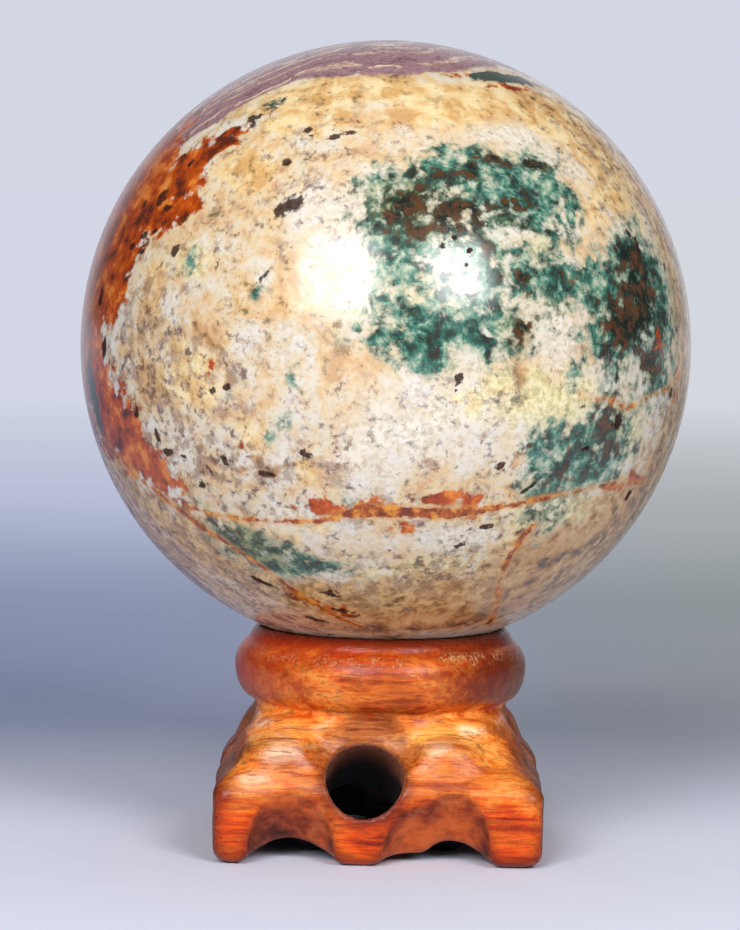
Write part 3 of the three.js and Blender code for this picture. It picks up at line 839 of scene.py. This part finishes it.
def stone_material():
    n = Nodes("polished_jasper")
    coarse = n.lumps(8, detail=3)
    medium = n.lumps(3.2, detail=5, rough=0.6, warp=0.4)
    small = n.lumps(1.5, n.place(shift=(5, 0, 0)), detail=4, rough=0.6, warp=0.3)
    fine = n.lumps(0.7, detail=4, rough=0.6)
    tiny = n.noise(0.4, detail=3, rough=0.6)

    # ivory ground with peach clouds and a fine tan mottle
    n.colour = n.ramp(
        n.sum(n.times(coarse, 0.45), n.times(medium, 0.55)),
        (0.20, 207, 200, 188), (0.42, 203, 189, 164),
        (0.60, 205, 177, 136), (0.82, 190, 147, 102),
    )
    n.coat(n.span(small, 0.50, 0.95, 0, 0.45), (192, 162, 128))
    n.coat(n.span(fine, 0.55, 1.0, 0, 0.30), (160, 132, 110))
    lime = n.patch("lime", small, 0.6, 0.4, 1.2, 0.75)
    n.coat(lime, n.ramp(fine, (0.2, 226, 216, 162), (0.9, 176, 168, 112)))
    tan = n.patch("tan", medium, 0.5, 0.30, 1.0, 0.88)
    n.coat(tan, n.ramp(small, (0.2, 204, 166, 110), (0.8, 142, 102, 56)))
    ochre = n.patch("ochre", small, 0.6, 0.40, 1.15, 0.88)
    n.coat(ochre, n.ramp(medium, (0.2, 226, 202, 150), (0.8, 200, 154, 90)))
    pale = n.patch("pale", medium, 0.6, 0.55, 1.1, 0.85)
    n.coat(pale, n.ramp(fine, (0.3, 216, 210, 197), (0.9, 192, 180, 158)))

    # grey, brown and plum speckle, thicker in places
    smudge = n.lumps(2.6, n.place(shift=(0, 70, 0)), detail=6, rough=0.68)
    smudge = n.sum(smudge, n.times(n.field("speckled"), 0.28))
    tint = n.ramp(small, (0.3, 142, 116, 102), (0.7, 122, 88, 58))
    n.coat(n.span(smudge, 0.66, 1.15, 0, 0.75), tint)
    freckle = n.lumps(1.3, n.place(shift=(40, 0, 0)), detail=5, rough=0.66)
    freckle = n.sum(freckle, n.times(n.field("speckled"), 0.20))
    tint = n.ramp(coarse, (0.3, 94, 74, 80), (0.7, 104, 72, 52))
    n.coat(n.span(freckle, 0.74, 1.14, 0, 0.9), tint)

    # under the slanting seam the stone is peach, in layers that follow the seam
    layers = n.pair(n.sum(n.field("below"), n.times(medium, 1.4)), n.times(coarse, 7.0))
    layer = n.lumps(2.6, layers, detail=5, rough=0.68)
    peach = n.ramp(
        layer, (0.06, 66, 58, 70), (0.27, 158, 120, 98), (0.45, 208, 168, 130),
        (0.62, 198, 176, 156), (0.78, 222, 190, 148), (0.95, 146, 92, 58),
    )
    peach = n.mix(n.span(freckle, 0.6, 1.1, 0, 0.6), peach, linear(104, 86, 90))
    seam = n.patch("below", small, 0.6, 0.1, 0.7)
    n.coat(n.times(seam, n.field("under")), peach)

    # brown stains
    brown = n.patch("brown", small, 0.7, 0.5, 1.2, 0.85)
    umber = n.ramp(medium, (0.2, 196, 158, 108), (0.55, 164, 118, 70), (0.9, 88, 64, 46))
    n.coat(brown, umber)

    # plum-coloured streaks near the sides, drawn out up and down
    drawn = n.lumps(1.3, n.place((1, 1, 0.22)), detail=5, rough=0.7)
    streaks = n.times(n.span(drawn, 0.45, 0.8), n.field("limb"))
    n.coat(n.times(streaks, 0.62), (92, 66, 52))

    # the mauve cap and its bands
    strata = n.pair(
        n.sum(n.times(n.field("cap"), 7.0), n.times(medium, 1.6)), n.times(coarse, 2.5)
    )
    bands = n.lumps(2.4, strata, detail=4, rough=0.6)
    layered = n.ramp(
        bands, (0.10, 106, 74, 78), (0.35, 156, 122, 128), (0.55, 142, 106, 112),
        (0.72, 186, 156, 138), (0.90, 222, 204, 180),
    )
    layered = n.mix(n.span(fine, 0.5, 1.0, 0, 0.5), layered, linear(104, 70, 72))
    n.coat(n.patch("cap", medium, 0.22, 0.06, 0.20), layered)

    # teal and dark green, with brown among it
    ragged = n.sum(n.times(medium, 0.9), n.times(small, 0.7))
    teal = n.sum(n.field("teal"), ragged)
    body = n.lumps(2.2, n.place(shift=(0, 0, 30)), detail=6, rough=0.66, warp=0.3)
    green = n.ramp(
        body, (0.12, 30, 34, 30), (0.32, 30, 64, 56), (0.52, 44, 102, 88),
        (0.72, 104, 138, 118), (0.95, 176, 182, 156),
    )
    olive = n.span(n.field("olive"), 0.1, 0.8, 0, 0.85)
    mossy = n.ramp(body, (0.2, 30, 34, 22), (0.6, 70, 84, 48), (0.95, 156, 148, 96))
    green = n.mix(olive, green, mossy)
    veil = n.ramp(fine, (0.3, 178, 182, 160), (0.8, 118, 132, 114))
    veiled = n.times(n.span(teal, 0.85, 1.50, 0, 0.70), n.span(n.field("teal"), 0.05, 0.30))
    n.coat(veiled, veil)
    n.coat(n.span(teal, 1.18, 1.78, 0, 0.97), green)
    dark = n.sum(n.field("dark"), ragged)
    murk = n.ramp(small, (0.2, 18, 24, 20), (0.5, 36, 36, 26), (0.8, 82, 50, 28))
    n.coat(n.span(dark, 1.20, 1.80, 0, 0.97), murk)

    # rust, in patches and veins
    rust = n.sum(n.field("rust"), n.sum(n.times(medium, 0.6), n.times(small, 0.5)))
    iron = n.ramp(
        n.lumps(3.0, n.place(shift=(20, 20, 0)), detail=5, rough=0.62),
        (0.10, 84, 32, 12), (0.34, 144, 54, 6), (0.65, 172, 70, 6),
        (0.92, 206, 120, 44),
    )
    # the rust is darker towards the sides of the ball: partly its own colour, partly painted shade
    # where the ball turns away
    iron = n.mix(n.times(n.field("limb"), 0.5), iron, linear(120, 60, 36))
    n.coat(n.span(rust, 1.02, 1.30), iron)
    vein = n.sum(n.field("vein"), n.sum(n.times(small, 0.5), n.times(medium, 0.3)))
    n.coat(n.span(vein, -0.3, 0.6, 0, 0.5), (200, 140, 72))
    stain = n.lumps(1.8, n.place(shift=(0, 50, 9)), detail=4, rough=0.65)
    ore = n.ramp(stain, (0.15, 104, 42, 14), (0.5, 160, 76, 20), (0.85, 206, 140, 50))
    n.coat(n.span(vein, 0.30, 0.62), ore)

    # slate inclusions
    slate = n.patch("slate", small, 0.35, 0.62, 0.78)
    n.coat(slate, (62, 74, 64))

    # small black-brown spots and pits
    spot = n.sum(n.field("spot"), n.sum(n.times(fine, 0.6), n.times(small, 0.5)))
    pitted = n.span(spot, 0.40, 0.85, 0, 0.93)
    n.coat(pitted, n.ramp(tiny, (0.4, 30, 17, 19), (0.7, 72, 42, 34)))
    grain = n.cells(0.8, n.place(shift=(0, 9, 0)))
    pits = n.times(n.span(grain, 0.18, 0.06), n.span(medium, 0.55, 0.8))
    n.coat(n.times(pits, 0.75), (66, 44, 40))

    n.put(n.colour, n.shader.inputs["Base Color"])
    n.put(n.span(tiny, 0.3, 0.75, 0.15, 0.23), n.shader.inputs["Roughness"])
    n.put(n.span(pitted, 0.2, 0.8, 0.52, 0.0), n.shader.inputs["Specular IOR Level"])
    n.shader.inputs["IOR"].default_value = 1.54
    n.bump(n.sum(n.times(pits, -1.0), n.times(tiny, 0.06)), 0.25, 0.08)
    return n.material


def wood_material():
    n = Nodes("waxed_wood")
    grain = n.lumps(0.7, n.place((0.09, 1, 1)), detail=5, rough=0.62, warp=0.4)
    broad = n.lumps(5, n.place((0.4, 1, 1)), detail=4)
    pores = n.lumps(0.28, n.place((0.14, 1, 1), shift=(3, 0, 0)), detail=3, rough=0.6)
    blotch = n.lumps(2.6, detail=5, rough=0.65)
    speck = n.lumps(0.4, detail=4, rough=0.7)

    tone = n.sum(n.times(grain, 0.5), n.times(broad, 0.5))
    # gold on the slope and the ring's bulge, red on the upright faces: partly the wood's own tone,
    # partly painted light, lighter where the faces turn up to the light
    gold = n.ramp(tone, (0.12, 160, 66, 14), (0.42, 224, 120, 38), (0.75, 250, 172, 84))
    red = n.ramp(tone, (0.12, 116, 24, 2), (0.42, 206, 68, 6), (0.80, 244, 124, 30))
    across, _, height = n.axes()
    up = n.sum(height, n.times(blotch, 3.6))
    slope = n.times(n.span(up, 8.5, 14.0), n.span(up, 22.5, 19.5))
    ring = n.times(n.span(height, 19.5, 21.5, 0, 0.8), n.span(up, 28.5, 24.0))
    n.colour = n.mix(n.math("MAXIMUM", slope, ring), red, gold)
    # painted highlight: pale patches on the slope where the light falls on its lobes
    painted_highlight = n.lumps(2.2, n.place((0.5, 1, 1), shift=(0, 30, 0)), detail=4)
    painted_highlight = n.patch("painted_highlight", painted_highlight, 0.6, 0.55, 1.35, 0.8)
    n.coat(painted_highlight, (255, 214, 172))
    n.coat(n.span(grain, 0.58, 0.95, 0, 0.65), (116, 26, 10))
    bars = n.lumps(1.7, n.place((0.08, 1, 1), shift=(0, 0, 12)), detail=4, rough=0.6, warp=0.3)
    n.coat(n.span(bars, 0.58, 0.95, 0, 0.5), (142, 44, 12))

    # painted shade: the ring turns deep red under the stone, and at its ends, which are end grain; the
    # deep red is painted darker towards the right end
    shade_under_stone = n.span(n.sum(height, n.times(blotch, 2.5)), 25.2, 28.8, 0, 0.8)
    ringed = n.span(height, 19.0, 21.0)
    tips_and_shade = n.sum(n.field("end"), n.sum(n.times(blotch, 0.2), n.times(across, 0.007)))
    tips_and_shade = n.span(tips_and_shade, 0.3, 1.0, 0, 0.9)
    deep_red_and_shade = n.ramp(
        n.span(across, -17, 17), (0.0, 160, 42, 6), (0.5, 120, 30, 8), (1.0, 92, 22, 6)
    )
    n.coat(n.times(ringed, n.math("MAXIMUM", shade_under_stone, tips_and_shade)), deep_red_and_shade)
    n.coat(n.span(pores, 0.72, 1.0, 0, 0.40), (124, 40, 10))

    # end grain is darker, full of pores
    open_pores = n.span(n.cells(0.55), 0.30, 0.12)
    end = n.patch("end", blotch, 0.3, 0.55, 0.90, 0.92)
    end = n.times(end, n.span(height, 21.5, 18.5))
    porous = n.ramp(blotch, (0.2, 72, 30, 14), (0.8, 142, 66, 30))
    porous = n.mix(n.times(open_pores, 0.8), porous, linear(22, 10, 6))
    n.coat(end, porous)

    # painted shade in the hollows and in the dish above each hole; where the gouge ran, a darker brown
    # that is partly painted shade, and bare dusty wood
    # painted shade: creases and hollows darkened where shade falls
    hollow = n.patch("hollow", speck, 0.15, 0.12, 0.6, 0.75)
    n.coat(hollow, (76, 22, 10))
    # painted shade: the dish above each hole is darkened brown
    dished = n.patch("dished", blotch, 0.5, 0.8, 0.2, 0.75)
    n.coat(dished, n.ramp(grain, (0.2, 88, 34, 14), (0.8, 164, 82, 36)))
    # the gouged faces turn a darker carved brown: partly the wood's own tone, partly painted shade in
    # the scoops
    gouged = n.patch("gouged", speck, 0.2, 0.48, 0.20, 0.9)
    carved_and_shaded = n.ramp(
        n.sum(n.times(broad, 0.6), n.times(blotch, 0.4)),
        (0.15, 44, 13, 7), (0.45, 128, 48, 18), (0.8, 194, 88, 32),
    )
    n.coat(gouged, carved_and_shaded)
    dusty = n.times(n.times(gouged, n.span(blotch, 0.60, 1.0)), n.span(speck, 0.2, 0.9))
    n.coat(n.times(dusty, 0.5), (160, 112, 88))

    # a pale speckled band on the ring's shoulder, stronger to the right: partly wear, partly painted
    # highlight
    band = n.times(n.span(height, 24.6, 25.8), n.span(height, 27.2, 26.2))
    wear_and_highlight = n.times(n.times(band, n.span(blotch, 0.35, 0.8)), n.span(speck, 0.35, 0.75))
    wear_and_highlight = n.times(wear_and_highlight, n.span(across, -8, 8, 0.25, 0.6))
    n.coat(wear_and_highlight, (232, 176, 120))

    # the wall of each hole is brown near the mouth and further in is painted near-black as painted
    # shade
    deep = n.span(n.field("deep"), 2.0, 10.0)
    bored = n.span(n.field("bored"), 0.28, 0.10)
    wall = n.ramp(speck, (0.2, 110, 58, 40), (0.8, 160, 96, 70))
    n.coat(bored, n.mix(deep, wall, linear(12, 7, 5)))

    # little light gets in under the stand
    inside = n.times(n.span(n.field("deep"), 2.0, 5.0), n.span(height, 11.0, 9.0))
    n.coat(inside, (18, 9, 6))

    n.put(n.colour, n.shader.inputs["Base Color"])
    rough = n.span(speck, 0.2, 0.9, 0.22, 0.38)
    rougher = n.sum(n.times(bored, 0.4), n.sum(n.times(gouged, 0.15), n.times(end, 0.25)))
    rough = n.sum(rough, rougher)
    n.put(rough, n.shader.inputs["Roughness"])
    n.shader.inputs["Specular IOR Level"].default_value = 0.27
    sunk = n.sum(n.times(pores, -0.4), n.times(n.times(open_pores, end), -1.5))
    relief = n.sum(n.times(grain, -0.5), sunk)
    n.bump(relief, 0.35, 0.12)
    return n.material


# --- floor, background, lights and camera ---
FLOOR_HALF = 30000
BACKDROP_DEPTH = 1000  # distance behind the object over which the floor changes its tone


def make_floor():
    mesh = bpy.data.meshes.new("floor")
    h = FLOOR_HALF * MM
    mesh.from_pydata([(-h, -h, 0), (h, -h, 0), (h, h, 0), (-h, h, 0)], [], [(0, 1, 2, 3)])
    floor = bpy.data.objects.new("floor", mesh)
    bpy.context.scene.collection.objects.link(floor)
    n = Nodes("studio_floor")
    across, away, _ = n.axes()
    # pale under the object, a soft blue-grey band of painted shade behind it that stands in for a
    # backdrop, and pale again far off
    back = n.add("MapRange")
    n.put(away, back.inputs["Value"])
    back.inputs["From Min"].default_value = 0
    back.inputs["From Max"].default_value = BACKDROP_DEPTH
    left = n.ramp(
        back.outputs["Result"], (0.0, 212, 215, 231), (0.05, 192, 196, 216),
        (0.10, 158, 166, 197), (0.16, 154, 162, 194), (0.28, 156, 164, 194),
        (0.52, 184, 190, 214), (0.98, 211, 215, 229),
    )
    right = n.ramp(
        back.outputs["Result"], (0.0, 213, 216, 229), (0.05, 198, 202, 215),
        (0.10, 176, 181, 190), (0.16, 172, 177, 182), (0.28, 156, 164, 166),
        (0.52, 170, 174, 178), (0.98, 212, 215, 222),
    )
    tone = n.mix(n.span(across, -70, 90), left, right)
    # far off, where the lamps don't reach, the floor glows softly by itself instead
    far = n.span(away, 60, 500)
    n.put(n.mix(far, tone, (0, 0, 0, 1)), n.shader.inputs["Base Color"])
    n.put(tone, n.shader.inputs["Emission Color"])
    n.put(far, n.shader.inputs["Emission Strength"])
    n.shader.inputs["Roughness"].default_value = 0.75
    n.shader.inputs["Specular IOR Level"].default_value = 0.0
    mesh.materials.append(n.material)


def make_world():
    """Pale in front of the camera, dimmer overhead and behind it."""
    world = bpy.data.worlds.new("studio")
    bpy.context.scene.world = world
    world.use_nodes = True
    tree = world.node_tree
    where = tree.nodes.new("ShaderNodeTexCoord")
    split = tree.nodes.new("ShaderNodeSeparateXYZ")
    tree.links.new(where.outputs["Generated"], split.inputs[0])
    span = tree.nodes.new("ShaderNodeMapRange")
    span.interpolation_type = "SMOOTHSTEP"
    span.inputs["From Min"].default_value = 0.74
    span.inputs["From Max"].default_value = 0.97
    tree.links.new(split.outputs["Y"], span.inputs["Value"])
    ramp = tree.nodes.new("ShaderNodeValToRGB")
    tree.links.new(span.outputs["Result"], ramp.inputs["Fac"])
    marks = ramp.color_ramp.elements
    marks[0].color = linear(78, 80, 86)
    marks[1].color = linear(211, 215, 227)
    tree.links.new(ramp.outputs["Color"], tree.nodes["Background"].inputs["Color"])


def make_lamp(name, way, distance, size, power):
    """A square soft light that way from the sphere's centre, facing it."""
    way = Vector(way).normalized()
    data = bpy.data.lights.new(name, "AREA")
    data.shape = "SQUARE"
    data.size = size * MM
    data.energy = power
    lamp = bpy.data.objects.new(name, data)
    lamp.location = Vector((0, 0, SPHERE_CENTRE * MM)) + way * distance * MM
    lamp.rotation_euler = way.to_track_quat("Z", "Y").to_euler()
    bpy.context.scene.collection.objects.link(lamp)
    return lamp


def make_lights():
    make_lamp("left_window", (-0.297, -0.832, 0.465), 900, 430, 7.0)
    make_lamp("right_window", (0.422, -0.775, 0.471), 900, 320, 5.0)
    make_lamp("ceiling", (0.1, 0.1, 1.0), 1500, 1600, 5.5).visible_glossy = False


CAMERA_PLACE = Vector((-0.22, -480, 86.9))
CAMERA_YAW, CAMERA_PITCH, CAMERA_ROLL = -0.0033, -0.0773, 0.0166
CAMERA_LENS = 141.4
SENSOR = 36


def make_camera():
    data = bpy.data.cameras.new("camera")
    data.sensor_width = SENSOR
    data.lens = CAMERA_LENS
    data.clip_start, data.clip_end = 0.01, 100
    camera = bpy.data.objects.new("camera", data)
    turn = Matrix.Rotation(-CAMERA_YAW, 3, "Z") @ Matrix.Rotation(math.pi / 2 + CAMERA_PITCH, 3, "X")
    camera.matrix_world = (
        Matrix.Translation(CAMERA_PLACE * MM) @ (turn @ Matrix.Rotation(CAMERA_ROLL, 3, "Z")).to_4x4()
    )
    bpy.context.scene.collection.objects.link(camera)
    bpy.context.scene.camera = camera


make_camera()
make_lights()
make_world()
make_floor()
make_stand()
make_sphere()
bpy.context.scene.view_settings.view_transform = "Standard"
